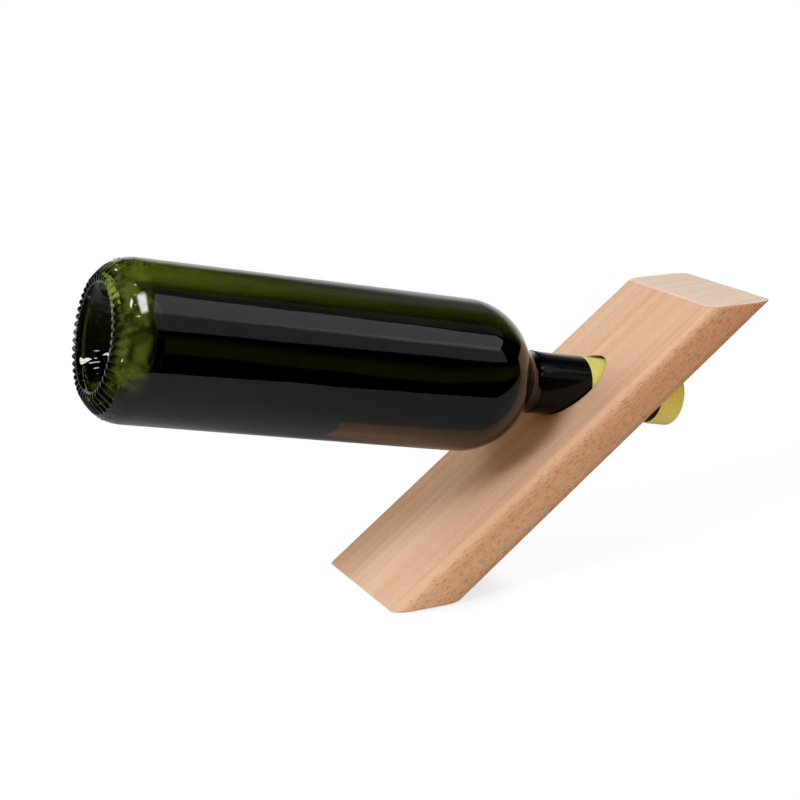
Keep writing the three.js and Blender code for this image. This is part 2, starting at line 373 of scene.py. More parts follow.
def face_rows(centre, border, settings, into):
    """Rows from the bore out to a face's border: the rim's rounding, then straight across the face."""
    turn = np.linspace(np.pi / 2, 0, RIM_ROWS)[:, None, None]
    rim = settings.rim_round
    rounding = np.stack([
        hole_row(centre, border, settings.hole_radius + rim * (1 - math.sin(t))) for t in turn.ravel()])
    rounding = rounding + into * rim * (1 - np.cos(turn)) * BOTTLE_AXIS
    start = rounding[-1]
    share_of_way = np.array([0.08, 0.3, 0.55, 0.8, 0.95, 0.99])[:, None, None]
    return np.concatenate([rounding, start + share_of_way * (border - start)])


def bore_rows(first, last, centre, rows):
    """Rows inside the bore: angle round the hole's axis and distance along it run evenly between two rims."""
    def cylinder(points):
        offset = points - centre
        return np.arctan2(offset @ ABOVE_AXIS, offset @ ACROSS), offset @ BOTTLE_AXIS
    angle_a, along_a = cylinder(first)
    angle_b, along_b = cylinder(last)
    turn = (angle_b - angle_a + np.pi) % (2 * np.pi) - np.pi
    t = np.linspace(0, 1, rows + 2)[1:-1, None]
    angle, along = angle_a + t * turn, along_a + t * (along_b - along_a)
    radius = square_reach(first - centre).mean()
    ring = np.cos(angle)[..., None] * ACROSS + np.sin(angle)[..., None] * ABOVE_AXIS
    return centre + along[..., None] * BOTTLE_AXIS + radius * ring


def plank_object(settings):
    """Plank as a ring of rows: through the bore, over the front face, round the edges and over the back.

    At each depth the outline is drawn in by the edge's inset and lifted by the end's rounding; a point's
    place along the lean follows from its height, so both ends are level.
    """
    thickness = FOOT_LENGTH * math.sin(PLANK_LEAN)
    half_width = PLANK_HIGH.y
    depth, inset = plank_section(settings, thickness)
    outline_y, outline_z = plank_outline(settings, half_width)
    from_face = np.minimum(depth, thickness - depth)
    lift = settings.end_round * (1 - np.sqrt(1 - np.clip(1 - from_face / settings.end_round, 0, 1) ** 2))
    y = np.outer(1 - inset / half_width, outline_y)
    z = lift[:, None] + outline_z * (1 - 2 * lift[:, None] / PLANK_RISE)
    x = PLANK_LOW.x + z / math.tan(PLANK_LEAN) + depth[:, None] / math.sin(PLANK_LEAN)
    edges = np.stack([x, y, z], axis=-1)

    face_normal = np.array([-math.sin(PLANK_LEAN), 0, math.cos(PLANK_LEAN)])
    hole = BOTTLE_BASE + settings.hole_lift * ABOVE_AXIS * np.sign(ABOVE_AXIS[2])
    foot = np.array([PLANK_LOW.x, 0, 0])
    to_front = (foot - hole) @ face_normal / (BOTTLE_AXIS @ face_normal)
    through = -thickness / (BOTTLE_AXIS @ face_normal)
    front_centre = hole + to_front * BOTTLE_AXIS
    back_centre = front_centre + through * BOTTLE_AXIS

    front = face_rows(front_centre, edges[0], settings, 1)
    back = face_rows(back_centre, edges[-1], settings, -1)[::-1]
    bore = bore_rows(back[-1], front[0], front_centre, BORE_ROWS)
    rows = np.concatenate([bore, front, edges, back])
    return surface_object("beech_plank", rows.reshape(-1, 3), quad_indices(*rows.shape[:2], True))


# Bottle

def shoulder_rows(settings, from_radius, to_radius, convex, concave, steps):
    """Along and radius of a shoulder: an arc that falls away from the body, then one into the neck."""
    turn = math.acos(1 - (from_radius - to_radius) / (convex + concave))
    end = settings.shoulder_start + (convex + concave) * math.sin(turn)
    fall = np.linspace(0, turn, steps + 1)
    run = np.linspace(turn, 0, steps // 2 + 1)[1:]
    along = np.concatenate([settings.shoulder_start + convex * np.sin(fall), end - concave * np.sin(run)])
    radius = np.concatenate([
        from_radius - convex * (1 - np.cos(fall)), to_radius + concave * (1 - np.cos(run))])
    return along, radius


def punt_rows(settings, ring_radius, floor, steps):
    """Along and radius of the punt from the axis to the ring, with closer rows at the ring.

    The depth is half a cosine wave of a power of the share of the ring's radius.
    """
    crowding = 1.6
    part = (1 - (1 - np.linspace(0, 1, steps + 1)) ** crowding) * settings.punt_end
    wave = (1 + np.cos(np.pi * part ** settings.punt_fullness)) / 2
    return floor + settings.punt_depth * wave, ring_radius * part


def heel_rows(settings, ring_radius, wall_radius, heel_width, floor, steps):
    """Along and radius from the ring to the wall: the ring's rounding, a straight flank, the heel's ellipse.

    The flank leaves the ring as a tangent to the ellipse, which it touches at twice the angle whose tangent
    is the ring's share of the heel's width.
    """
    start = wall_radius - heel_width
    touch = 2 * math.atan((ring_radius - start) / heel_width)
    slope = math.atan(settings.heel_height / heel_width * math.tan(touch))
    round_start = ring_radius - settings.ring_round * math.tan(slope / 2)
    bend = np.linspace(0, slope, RING_ROWS)
    turn = np.linspace(touch, np.pi / 2, steps + 1)
    along = np.concatenate([
        settings.ring_round * (1 - np.cos(bend)), settings.heel_height * (1 - np.cos(turn))])
    radius = np.concatenate([
        round_start + settings.ring_round * np.sin(bend), start + heel_width * np.sin(turn)])
    return floor + along, radius


def neck_rows(bottle, capsule, outside):
    """Along and radius of the neck above its taper: straight, a smooth waist and the lip.

    All of it lies at a distance outside the glass.
    """
    wide = bottle.neck_radius + outside
    lip = bottle.length - capsule.lip_height
    low = lip - capsule.waist_height
    slope = capsule.waist_slope
    along = np.concatenate([np.linspace(end - slope, end, SLOPE_ROWS) for end in (low, lip)])
    drawn = smooth_step(low - slope, low, along) * (1 - smooth_step(lip - slope, lip, along))
    return along, wide - capsule.waist_depth * drawn


def neck_root(settings):
    """Distance along the bottle at which the shoulder has become the neck."""
    along, _ = shoulder_rows(settings, settings.body_radius, settings.root_radius,
                             settings.shoulder_radius, settings.fillet_radius, OUTSIDE_ROWS["shoulder"])
    return along[-1]


def cavity_rows(settings, inset, top):
    """Along and radius of the inside of the glass, drawn in by a distance, from its floor up to a height."""
    wall = settings.body_radius - settings.body_wall - inset
    bore = settings.bore_radius - inset
    fillet = settings.fillet_radius + settings.root_radius - settings.bore_radius + inset
    floor = settings.base_wall + 2 * inset
    body = np.array([0.05, 0.1, 0.15])
    heel_width = settings.heel_width - settings.body_wall
    shoulder = settings.shoulder_radius - settings.body_wall - inset
    parts = [
        punt_rows(settings, settings.ring_radius, floor, INSIDE_ROWS["punt"]),
        heel_rows(settings, settings.ring_radius, wall, heel_width, floor, INSIDE_ROWS["heel"]),
        (body, np.full(len(body), wall)),
        shoulder_rows(settings, wall, bore, shoulder, fillet, INSIDE_ROWS["shoulder"]),
        (np.array([top]), np.array([bore])),
    ]
    return tuple(np.concatenate(lists) for lists in zip(*parts))


def swollen_punt(bottle):
    """Along and radius of the outside of the punt, with a swell that follows a cosine of the radius.

    The swell rises from the axis and fades out before the bearing ring.
    """
    risen, fade_start, fade_end = 0.008, 0.0235, 0.026
    along, radius = punt_rows(bottle, bottle.ring_radius - bottle.ring_width, 0, OUTSIDE_ROWS["punt"])
    swell = np.cos(2 * np.pi * (radius - bottle.swell_place) / bottle.swell_pitch)
    swell *= smooth_step(0, risen, radius) * (1 - smooth_step(fade_start, fade_end, radius))
    return along + bottle.swell * swell, radius


def rib_valleys(bottle, along, radius, angle):
    """Depth of the valleys between the ribs of the bearing ring: one less the size of a cosine of the angle.

    The cosine's size is eased where it meets zero, and the valleys rise at both ends of the ribs.
    """
    ends, ease = 0.0012, 0.02
    on_ring = (along < bottle.heel_height / 2) * (
        smooth_step(bottle.knurl_inner, bottle.knurl_inner + ends, radius)
        * (1 - smooth_step(bottle.knurl_outer - ends, bottle.knurl_outer, radius)))
    valley = 1 - np.sqrt(np.cos(bottle.knurls * angle / 2) ** 2 + ease) / math.sqrt(1 + ease)
    return on_ring * valley * bottle.knurl_depth


def mould_dots(bottle, along, angle):
    """Height of the dots round the heel: half a cosine wave of the distance from the nearest dot."""
    pitch = 2 * np.pi / bottle.dots
    round_heel = ((angle + pitch / 2) % pitch - pitch / 2) * bottle.body_radius
    far = np.hypot(round_heel, along - bottle.dot_place) / bottle.dot_radius
    return (1 + np.cos(np.pi * np.clip(far, 0, 1))) / 2 * bottle.dot_height


def bottle_object(bottle, capsule):
    """Glass turned from one profile, punt to mouth and back down the inside.

    Outside, the valleys between the ribs are sunk at right angles to the profile, and the mould dots stand
    out from it.
    """
    lip_round = 0.0015
    turn = quarter_turn(ROUNDING_STEPS)
    body = np.array([0.03, 0.06, 0.10, 0.14, 0.17])
    outside = [
        swollen_punt(bottle),
        heel_rows(bottle, bottle.ring_radius, bottle.body_radius, bottle.heel_width, 0, OUTSIDE_ROWS["heel"]),
        (body, np.full(len(body), bottle.body_radius)),
        shoulder_rows(bottle, bottle.body_radius, bottle.root_radius,
                      bottle.shoulder_radius, bottle.fillet_radius, OUTSIDE_ROWS["shoulder"]),
        (np.array([neck_root(bottle) + bottle.neck_taper]), np.array([bottle.neck_radius])),
        neck_rows(bottle, capsule, 0),
        (bottle.length - lip_round * (1 - np.sin(turn)), bottle.neck_radius - lip_round * (1 - np.cos(turn))),
    ]
    inside = [a[::-1] for a in cavity_rows(bottle, 0, bottle.length)]
    along = column(*[part[0] for part in outside], inside[0])
    radius = column(*[part[1] for part in outside], inside[1])
    outer_rows = sum(len(part[0]) for part in outside)
    angle = circle_angles(bottle.knurls * bottle.steps_per_knurl)

    is_outside = (np.arange(len(along)) < outer_rows)[:, None]
    sink = is_outside * rib_valleys(bottle, along, radius, angle)
    bump = is_outside * mould_dots(bottle, along, angle)
    out, up = np.gradient(radius[:, 0])[:, None], np.gradient(along[:, 0])[:, None]
    step = np.hypot(out, up) + 1e-12

    piece = turned_object("wine_bottle", along + sink * out / step, radius + bump - sink * up / step, angle)
    # The faces come row by row, then the fan in the punt and the fan on the cavity's floor
    columns = angle.shape[1]
    rows_of_face = np.arange(len(piece.data.polygons)) // columns
    inner = (rows_of_face >= outer_rows - 1) & (rows_of_face < len(along) - 3)
    inner[-columns:] = True
    piece.data.polygons.foreach_set("material_index", inner.astype(np.int32))
    return piece


def wine_object(bottle):
    """Wine turned from the cavity's profile, with what lies above its level slid along the axis onto it.

    The slide stops a little short, so that no faces fold flat onto each other.
    """
    skin, slid = 0.00005, 0.98
    cork_bottom = bottle.length - bottle.cork_inset - bottle.cork_length
    along, radius = cavity_rows(bottle, skin, cork_bottom - skin)
    along, radius = column(along, cork_bottom - skin), column(radius, 0)
    piece = turned_object("wine_fill", along, radius, circle_angles(COLUMNS["wine"]))
    heel = BOTTLE_BASE + (bottle.base_wall + bottle.heel_height) * BOTTLE_AXIS
    roof = heel[2] + (bottle.body_radius - bottle.body_wall) * abs(ABOVE_AXIS[2])
    level = roof - bottle.air_depth
    points = np.empty(len(piece.data.vertices) * 3)
    piece.data.vertices.foreach_get("co", points)
    points = points.reshape(-1, 3)
    slide = slid * np.maximum(points[:, 2] - level, 0) / -BOTTLE_AXIS[2]
    points += slide[:, None] * BOTTLE_AXIS
    piece.data.vertices.foreach_set("co", points.ravel())
    piece.data.update()
    return piece


def cork_object(bottle):
    """Cork turned from a rectangle with chamfered corners."""
    chamfer, gap = 0.0006, 0.0003
    radius = bottle.bore_radius - gap
    top = bottle.length - bottle.cork_inset
    bottom = top - bottle.cork_length
    along = column(bottom, bottom, bottom, bottom + chamfer, top - chamfer, top, top, top)
    spread = column(0, radius / 2, radius - chamfer, radius, radius, radius - chamfer, radius / 2, 0)
    return turned_object("cork_stopper", along, spread, circle_angles(COLUMNS["cork"]))


def sleeve_object(bottle, capsule):
    """Capsule sleeve turned from a closed profile: rounded hem, taper, waist and lip, outside and inside.

    Half a cosine wave presses a crease in under the top.
    """
    root = neck_root(bottle)
    hem, taper_end = root + capsule.past_root, root + bottle.neck_taper
    end = bottle.length + capsule.clearance + capsule.top_thickness
    edge = capsule.film / 2
    turn = quarter_turn(ROUNDING_STEPS)
    outside = capsule.clearance + capsule.film
    wide = bottle.neck_radius + outside
    hem_wide = bottle.root_radius + outside
    outer = neck_rows(bottle, capsule, outside)
    inner = neck_rows(bottle, capsule, capsule.clearance)
    across = np.linspace(-1, 1, CREASE_ROWS)
    crease = capsule.crease + across * capsule.crease_width
    pinch = capsule.crease_depth * (1 + np.cos(np.pi * across)) / 2
    along = column(hem + edge * (1 - np.cos(turn)), taper_end, outer[0], crease,
                   end - edge * (1 - np.sin(turn)), end, inner[0][::-1], taper_end, hem)
    radius = column(hem_wide - edge * (1 - np.sin(turn)), wide, outer[1], wide - pinch,
                    wide - edge * (1 - np.cos(turn)), wide - capsule.film, inner[1][::-1],
                    wide - capsule.film, hem_wide - capsule.film)
    return turned_object("capsule_skin", along, radius, circle_angles(COLUMNS["sleeve"]), closed=True)


def disc_object(bottle, capsule):
    """Disc over the mouth turned from a flat profile, with a ring pressed near its rim along a bell curve."""
    press_depth, press_place, press_width = 0.0002, 0.86, 0.0006
    bottom = bottle.length + capsule.clearance
    top = bottom + capsule.top_thickness
    radius = bottle.neck_radius
    edge = capsule.top_thickness / 4
    out = np.linspace(radius - edge, 0, DISC_ROWS)
    pressed = press_depth * np.exp(-((out - press_place * radius) / press_width) ** 2)
    along = column(bottom, bottom, bottom + edge, top - edge, top - pressed)
    spread = column(0, radius - edge, radius, radius, out)
    return turned_object("capsule_disc_top", along, spread, circle_angles(COLUMNS["disc"]))


# Materials

# Range of a noise over which a tone turns into another
MIDDLE = (0.3, 0.7)
BLACK, WHITE = (0, 0, 0), (1, 1, 1)


def shaded(tone, factor):
    """A colour made darker or lighter by a factor."""
    return tuple(factor * c for c in tone)


class Nodes:
    """Node tree with short calls that add a node and give back its output."""

    def __init__(self, tree):
        self.tree = tree

    def add(self, kind, output, inputs=None, **properties):
        """Adds a node, sets its properties, sets or links its inputs, and gives back one output."""
        node = self.tree.nodes.new(kind)
        for name, value in properties.items():
            setattr(node, name, value)
        for key, value in (inputs or {}).items():
            self.feed(node.inputs[key], value)
        return node.outputs[output]

    def feed(self, socket, value):
        """Links an output to an input, or sets the input's own value."""
        if isinstance(value, bpy.types.NodeSocket):
            self.tree.links.new(value, socket)
        elif hasattr(value, "__len__") and len(value) == 3 and socket.type == "RGBA":
            socket.default_value = (*value, 1)
        else:
            socket.default_value = value

    def mapping(self, vector, **inputs):
        """Coordinates moved, turned or scaled."""
        return self.add("ShaderNodeMapping", "Vector", {"Vector": vector, **inputs})

    def math(self, operation, a, b=0.0, c=0.0, clamp=False):
        """Result of an operation on up to three numbers."""
        return self.add("ShaderNodeMath", 0, {0: a, 1: b, 2: c}, operation=operation, use_clamp=clamp)

    def times(self, a, b):
        """Product of two numbers."""
        return self.math("MULTIPLY", a, b)

    def vector(self, operation, a, b=(0, 0, 0), output="Vector"):
        """Result of an operation on one or two vectors."""
        return self.add("ShaderNodeVectorMath", output, {0: a, 1: b}, operation=operation)

    def noise(self, vector, scale, detail=2.0, roughness=0.5):
        """Cloudy noise from about 0.2 to 0.8."""
        return self.add("ShaderNodeTexNoise", "Fac", {
            "Vector": vector, "Scale": scale, "Detail": detail, "Roughness": roughness})

    def drawn_noise(self, vector, scales, detail, roughness=0.5):
        """Cloudy noise with a scale of its own along each axis."""
        return self.noise(self.mapping(vector, Scale=scales), 1.0, detail, roughness)

    def ring_noise(self, radius, scale, detail, roughness=0.5):
        """Noise of one number, which makes uneven rings of a radius."""
        return self.add("ShaderNodeTexNoise", "Fac", {
            "W": radius, "Scale": scale, "Detail": detail, "Roughness": roughness}, noise_dimensions="1D")

    def step(self, value, low, high, to_low=0.0, to_high=1.0):
        """Smooth rise of a value from low to high."""
        return self.add("ShaderNodeMapRange", "Result", {
            "Value": value, "From Min": low, "From Max": high, "To Min": to_low, "To Max": to_high},
            interpolation_type="SMOOTHSTEP")

    def mix(self, factor, a, b, blend="MIX"):
        """Colour a blended with colour b by a factor."""
        return self.add("ShaderNodeMix", 2, {0: factor, 6: a, 7: b}, data_type="RGBA", blend_type=blend)

    def axis_part(self, vector, part):
        """X, Y or Z of a vector."""
        return self.add("ShaderNodeSeparateXYZ", part, {"Vector": vector})

    def ray(self, kind):
        """1 for rays of a kind and 0 for others."""
        return self.add("ShaderNodeLightPath", f"Is {kind} Ray")

    def mirrored(self):
        """1 for rays that a surface mirrors, and 0 for those that pass through one."""
        return self.times(self.ray("Glossy"), self.math("SUBTRACT", 1.0, self.ray("Transmission")))


class Shader(Nodes):
    """Node tree of one material with its surface shader."""

    def __init__(self, name):
        self.material = bpy.data.materials.new(name)
        self.material.use_nodes = True
        super().__init__(self.material.node_tree)
        self.surface = self.tree.nodes["Principled BSDF"]

    def set(self, **sockets):
        """Sets or links inputs of the surface shader, named with underscores for spaces."""
        for name, value in sockets.items():
            self.feed(self.surface.inputs[name.replace("_", " ")], value)

    def place(self):
        """Place on the piece, in the frame's axes."""
        return self.add("ShaderNodeTexCoord", "Object")

    def facing(self):
        """Direction that the surface faces, in the frame's axes."""
        return self.add("ShaderNodeTexCoord", "Normal")

    def bump(self, height, distance, strength=1.0):
        """Surface direction tilted by a height."""
        return self.add("ShaderNodeBump", "Normal", {
            "Height": height, "Distance": distance, "Strength": strength})

    def along_bottle(self):
        """Distance from the bottle's base along its axis."""
        reach = self.vector("DOT_PRODUCT", self.place(), tuple(BOTTLE_AXIS), "Value")
        return self.math("SUBTRACT", reach, float(BOTTLE_BASE @ BOTTLE_AXIS))

    def from_axis(self):
        """Distance from the bottle's axis."""
        reach = self.vector("SUBTRACT", self.place(), tuple(BOTTLE_BASE))
        square = self.vector("SUBTRACT", reach, self.vector("PROJECT", reach, tuple(BOTTLE_AXIS)))
        return self.vector("LENGTH", square, output="Value")


def beech(settings):
    """Oiled beech: growth rings round a line beside the plank, fibres and soft streaks along the lean.

    The narrow sides show dark flecks as short dashes, the wide faces pale flakes, and the cut ends the rings
    as arcs, on a colour paled beyond the wood's own as painted light from above.
    """
    heart, sway_reach = (0, 0.085, 0.02), 0.012
    fibre_share, ring_share, streak_share, paler = 0.45, 0.25, 0.5, 0.2
    fine_share, fleck_share, flake_share = 0.10, 0.75, 0.12
    fine_height, relief_height, relief_strength = 0.35, 0.00012, 0.6
    s = Shader("oiled_beech")
    grain = s.mapping(s.place(), Rotation=(0, PLANK_LEAN, 0))
    facing = s.facing()
    side = s.step(s.math("ABSOLUTE", s.axis_part(facing, "Y")), 0.45, 0.95)
    end = s.step(s.math("ABSOLUTE", s.axis_part(facing, "Z")), 0.88, 0.97)
    face = s.math("SUBTRACT", 1.0, side, clamp=True)

    sway = s.drawn_noise(grain, (7, 30, 30), 2.0)
    from_heart = s.vector("LENGTH", s.mapping(grain, Location=heart, Scale=(0, 1, 1)), output="Value")
    growth = s.ring_noise(s.math("MULTIPLY_ADD", sway, sway_reach, from_heart), 260.0, 3.0, 0.6)
    rings = s.step(growth, 0.36, 0.66)
    fibres = s.drawn_noise(grain, (11, 300, 300), 3.0, 0.6)
    streaks = s.drawn_noise(grain, (5, 110, 110), 2.0, 0.6)
    patches = s.drawn_noise(grain, (8, 30, 30), 1.0)
    fine = s.drawn_noise(grain, (60, 2000, 2000), 2.0)

    tone = s.math("MULTIPLY_ADD", fibres, fibre_share, s.times(rings, ring_share))
    tone = s.math("SUBTRACT", tone, paler)
    tone = s.math("MULTIPLY_ADD", s.step(streaks, *MIDDLE), streak_share, tone, clamp=True)
    wood = s.mix(tone, settings.early_wood, settings.late_wood)
    wood = s.mix(s.step(patches, 0.35, 0.65), wood, s.mix(1.0, wood, settings.blush, "MULTIPLY"))
    wood = s.mix(s.times(s.step(fine, 0.35, 0.75), fine_share), wood, settings.late_wood)

    aslant = s.mapping(s.place(), Rotation=(0, PLANK_LEAN - settings.fleck_slant, 0))
    flat = s.add("ShaderNodeCombineXYZ", "Vector", {
        "X": s.axis_part(aslant, "X"), "Y": s.axis_part(aslant, "Z")})
    long_dashes = s.step(s.drawn_noise(flat, (250, 2000, 1), 1.0), 0.58, 0.70)
    short_dashes = s.step(s.drawn_noise(flat, (420, 3000, 1), 1.0), 0.56, 0.70, 0.0, 0.6)
    dash = s.times(s.math("MAXIMUM", long_dashes, short_dashes), side)
    wood = s.mix(s.times(dash, fleck_share), wood, settings.fleck)

    flakes = s.add("ShaderNodeTexVoronoi", "Distance", {
        "Vector": s.mapping(grain, Scale=(420, 160, 900)), "Scale": 1.0})
    flake = s.times(s.step(flakes, 0.45, 0.2), face)
    wood = s.mix(s.times(flake, flake_share), wood, settings.flake)

    pores = s.drawn_noise(grain, (30, 1200, 1200), 1.0)
    # Cut ends: end grain with its rings, paled as painted light from above
    end_wood_and_light = s.mix(s.step(growth, 0.3, 0.75, 0.0, 0.8), settings.end_pale_and_light, settings.end_ring_and_light)
    end_wood_and_light = s.mix(s.step(pores, 0.5, 0.75, 0.0, 0.3), end_wood_and_light, settings.late_wood)
    wood = s.mix(end, wood, end_wood_and_light)

    s.set(Base_Color=wood, Roughness=s.step(fibres, *MIDDLE, 0.5, 0.64), Specular_IOR_Level=0.35)
    relief = s.math("SUBTRACT", s.times(fine, fine_height), dash)
    s.set(Normal=s.bump(relief, relief_height, relief_strength))
    return s.material


def olive_glass(settings):
    """Outer skin of the bottle: smooth olive glass with the faint waves and specks of a moulded surface.

    The punt is uneven. In the heel, a matt olive share in blotches, kept to the heel's upper side, is a
    painted glow that stands in for light shining through the thick glass.
    """
    heel_along, heel_out, glow_height = (0.0175, 0.0115), (0.0285, 0.0325), (0.116, 0.130)
    punt_along, punt_out = (0.03, 0.025), (0.0265, 0.0235)
    thin, thick = 0.3 * settings.painted_heel_glow, 1.7 * settings.painted_heel_glow
    wave_height = 0.0003
    s = Shader("olive_bottle_glass")
    along, radius = s.along_bottle(), s.from_axis()
    waves = s.drawn_noise(s.place(), (14, 45, 45), 1.0)
    dust = s.noise(s.place(), 2600.0, 1.0)
    blotches = s.noise(s.place(), 150.0, 2.0)
    dents = s.noise(s.place(), 100.0, 1.0)
    # Painted glow: a matt share in the heel, in blotches and only on its upper side, stands in for light
    # shining through
    heel = s.times(s.step(along, *heel_along), s.step(radius, *heel_out))
    heel = s.times(heel, s.step(s.axis_part(s.place(), "Z"), *glow_height))
    painted_glow = s.times(heel, s.step(blotches, 0.35, 0.65, thin, thick))
    punt = s.times(s.step(radius, *punt_out), s.step(along, *punt_along))
    dented = s.times(s.times(dents, punt), settings.dents)
    height = s.math("MULTIPLY_ADD", waves, wave_height, dented)
    s.set(Base_Color=settings.glass, IOR=1.5, Roughness=s.step(dust, 0.66, 0.8, 0.0, 0.06))
    s.set(Transmission_Weight=1.0)
    s.set(Transmission_Weight=s.math("SUBTRACT", 1.0, painted_glow))
    s.set(Normal=s.bump(height, 1.0))
    return s.material


def wetted_wall(settings):
    """Inner skin of the bottle against the wine, where light passes from glass into wine and hardly turns."""
    s = Shader("wetted_glass_wall")
    waves = s.noise(s.place(), 30.0, 1.0)
    s.set(Base_Color=settings.wet_wall, Transmission_Weight=1.0, IOR=1.12, Roughness=0.0)
    s.set(Normal=s.bump(waves, 0.0006, 0.3))
    return s.material


def wine_colour(settings):
    """Wine: clear, with a little more colour in drifting clouds."""
    s = Shader("clear_wine")
    cloud = s.noise(s.place(), 12.0, 1.0)
    tone = s.mix(s.step(cloud, *MIDDLE), settings.wine, shaded(settings.wine, 0.8))
    s.set(Base_Color=tone, Transmission_Weight=1.0, IOR=1.0, Roughness=0.0)
    return s.material


def cork_bark():
    """Natural cork: warm speckled bark with dark pores."""
    pale, brown, dark = (0.50, 0.30, 0.13), (0.34, 0.18, 0.07), (0.12, 0.06, 0.025)
    s = Shader("natural_cork")
    specks = s.noise(s.place(), 900.0, 3.0, 0.65)
    pores = s.add("ShaderNodeTexVoronoi", "Distance", {"Vector": s.place(), "Scale": 520.0})
    bark = s.mix(s.step(specks, 0.35, 0.7), pale, brown)
    pore = s.step(pores, 0.3, 0.12)
    s.set(Base_Color=s.mix(pore, bark, dark), Roughness=0.85)
    s.set(Normal=s.bump(s.math("SUBTRACT", specks, pore), 0.0003, 0.6))
    return s.material


def capsule_film(settings):
    """Shrunk film: satin black with pale gold bands across the bottle's axis, and fine drawn wrinkles."""
    soft = 0.00012
    s = Shader("black_and_gold_film")
    along = s.along_bottle()
    band = s.times(s.step(along, settings.band_start - soft, settings.band_start + soft),
                   s.step(along, settings.band_end + soft, settings.band_end - soft))
    cap = s.step(along, settings.cap_start - soft, settings.cap_start + soft)
    gold = s.math("MAXIMUM", band, cap)
    brush = s.noise(s.place(), 900.0, 3.0, 0.6)
    gold_tone = s.mix(s.step(brush, *MIDDLE), settings.gold, shaded(settings.gold, 0.88))
    black_tone = s.mix(s.step(brush, *MIDDLE), settings.black, shaded(settings.black, 1.8))
    s.set(Base_Color=s.mix(gold, black_tone, gold_tone),
          Roughness=s.step(brush, *MIDDLE, 0.10, 0.16), Specular_IOR_Level=0.17)
    wrinkle = s.noise(s.place(), 240.0, 2.0)
    s.set(Normal=s.bump(wrinkle, 0.0002, 0.25))
    return s.material


def gold_disc(settings):
    """Gold disc over the mouth, with the rings that pressing leaves."""
    s = Shader("pale_gold_disc")
    rings = s.ring_noise(s.from_axis(), 2600.0, 1.0)
    s.set(Base_Color=s.mix(s.step(rings, *MIDDLE), settings.gold, shaded(settings.gold, 0.85)),
          Roughness=s.step(rings, *MIDDLE, 0.32, 0.45))
    s.set(Normal=s.bump(rings, 0.00005, 0.5))
    return s.material


# Studio

def studio_floor(settings):
    """White matt floor that looks whiter in the picture than in what the glass mirrors or lets through.

    In the picture a soft shadow follows how much of the sky is open beside the foot.
    """
    edge_white = 0.1
    dull_across = (-0.13, 0.10)
    dim_across, dim_share = (-0.32, -0.18), 0.12
    shadow_open = (0.98, 0.3)
    s = Shader("white_floor")
    grain = s.noise(s.place(), 60.0, 2.0)
    white = shaded(WHITE, settings.floor_white)
    tone = s.mix(s.step(grain, 0.2, 0.8), white, shaded(white, 0.99))
    across, back = (s.axis_part(s.place(), part) for part in "XY")
    to_edge = s.math("MULTIPLY_ADD", across, settings.floor_slant, back)
    fade = s.step(to_edge, settings.floor_back - settings.floor_fade, settings.floor_back, 1.0, edge_white)
    fade = s.times(fade, s.step(across, *dull_across, 1.0, settings.floor_dull))
    dim = s.step(across, *dim_across, dim_share * settings.floor_mirrored, settings.floor_mirrored)
    tone = s.mix(s.ray("Transmission"), tone, s.mix(fade, BLACK, WHITE))
    tone = s.mix(s.mirrored(), tone, s.mix(dim, BLACK, WHITE))
    tone = s.mix(s.ray("Camera"), tone, shaded(WHITE, settings.floor_seen))
    s.set(Base_Color=tone, Roughness=0.9, Specular_IOR_Level=0.0)
    open_sky = s.add("ShaderNodeAmbientOcclusion", "AO", {"Distance": settings.contact_reach}, samples=16)
    contact = s.step(open_sky, *shadow_open)
    lift = s.math("MULTIPLY_ADD", contact, -settings.contact_shade, settings.floor_lift)
    s.set(Emission_Color=WHITE, Emission_Strength=s.times(s.ray("Camera"), lift))
    return s.material


def floor_object(settings):
    """Floor as a grid of level points under the foot, with a back edge that runs aslant behind the bottle."""
    drop = 0.0002
    rows, columns = FLOOR_GRID
    side = np.linspace(-settings.floor_side, settings.floor_side, columns)
    sloped = np.clip(side, -settings.slant_side, settings.slant_side)
    reach = settings.floor_back - settings.floor_slant * sloped
    depth = np.linspace(0, 1, rows)[:, None]
    y = -settings.floor_front + depth * (reach + settings.floor_front)
    x = np.broadcast_to(side, y.shape)
    points = np.stack([x, y, np.full_like(y, -drop)], axis=-1).reshape(-1, 3)
    index = np.arange(rows * columns).reshape(rows, columns)
    corners = [index[:-1, :-1], index[:-1, 1:], index[1:, 1:], index[1:, :-1]]
    quads = np.stack(corners, axis=-1).reshape(-1, 4)
    mesh = bpy.data.meshes.new("studio_floor")
    mesh.from_pydata(points.tolist(), [], quads.tolist())
    floor = bpy.data.objects.new("studio_floor", mesh)
    bpy.context.scene.collection.objects.link(floor)
    return floor


# Lights: name, place, aim, width and height, brightness, and what sets them apart
LIGHTS = (
    ("key_light", (-0.705, -0.359, 0.814), (0, 0, 0.05), (0.30, 0.30), 34,
     {"tint": (0.735, 0.853, 1), "gloss": False}),
    ("far_fill", (-0.808, 0.466, 0.633), (0, 0, 0.05), (0.50, 0.50), 8.4,
     {"tint": (0.70, 0.845, 1), "gloss": False}),
    ("front_fill", (-0.275, -1.045, 0.27), (0, 0, 0.05), (0.50, 0.50), 2.5,
     {"tint": (1, 0.78, 0.25), "gloss": False}),
    ("punt_window", (-0.524, -0.225, 0.923), (-0.146, 0, 0.14), (0.12, 0.18), 18,
     {"matt": False}),
    ("heel_window", (-0.12, -0.45, 1.0), (-0.12, -0.45, 0), (0.40, 0.66), 16,
     {"matt": False, "soft": (0.3, 0.3, 0.25, 0.25)}),
    ("upper_panel", (0.75, -0.564, 1.0), (0.75, -0.564, 0), (0.996, 0.64), 0.95,
     {"matt": False, "roll": -0.19, "soft": (0.06, 0.06, 0.25, 0.01)}),
    ("upper_strip", (0.65, -0.1, 1.0), (0.65, -0.1, 0), (1.2, 0.24), 0.14,
     {"matt": False}),
    ("front_panel", (0.725, -0.75, 0.753), (0.725, 0, 0.753), (1.05, 0.58), 0.37,
     {"matt": False, "soft": (0.06, 0.06, 0.08, 0.01)}),
)


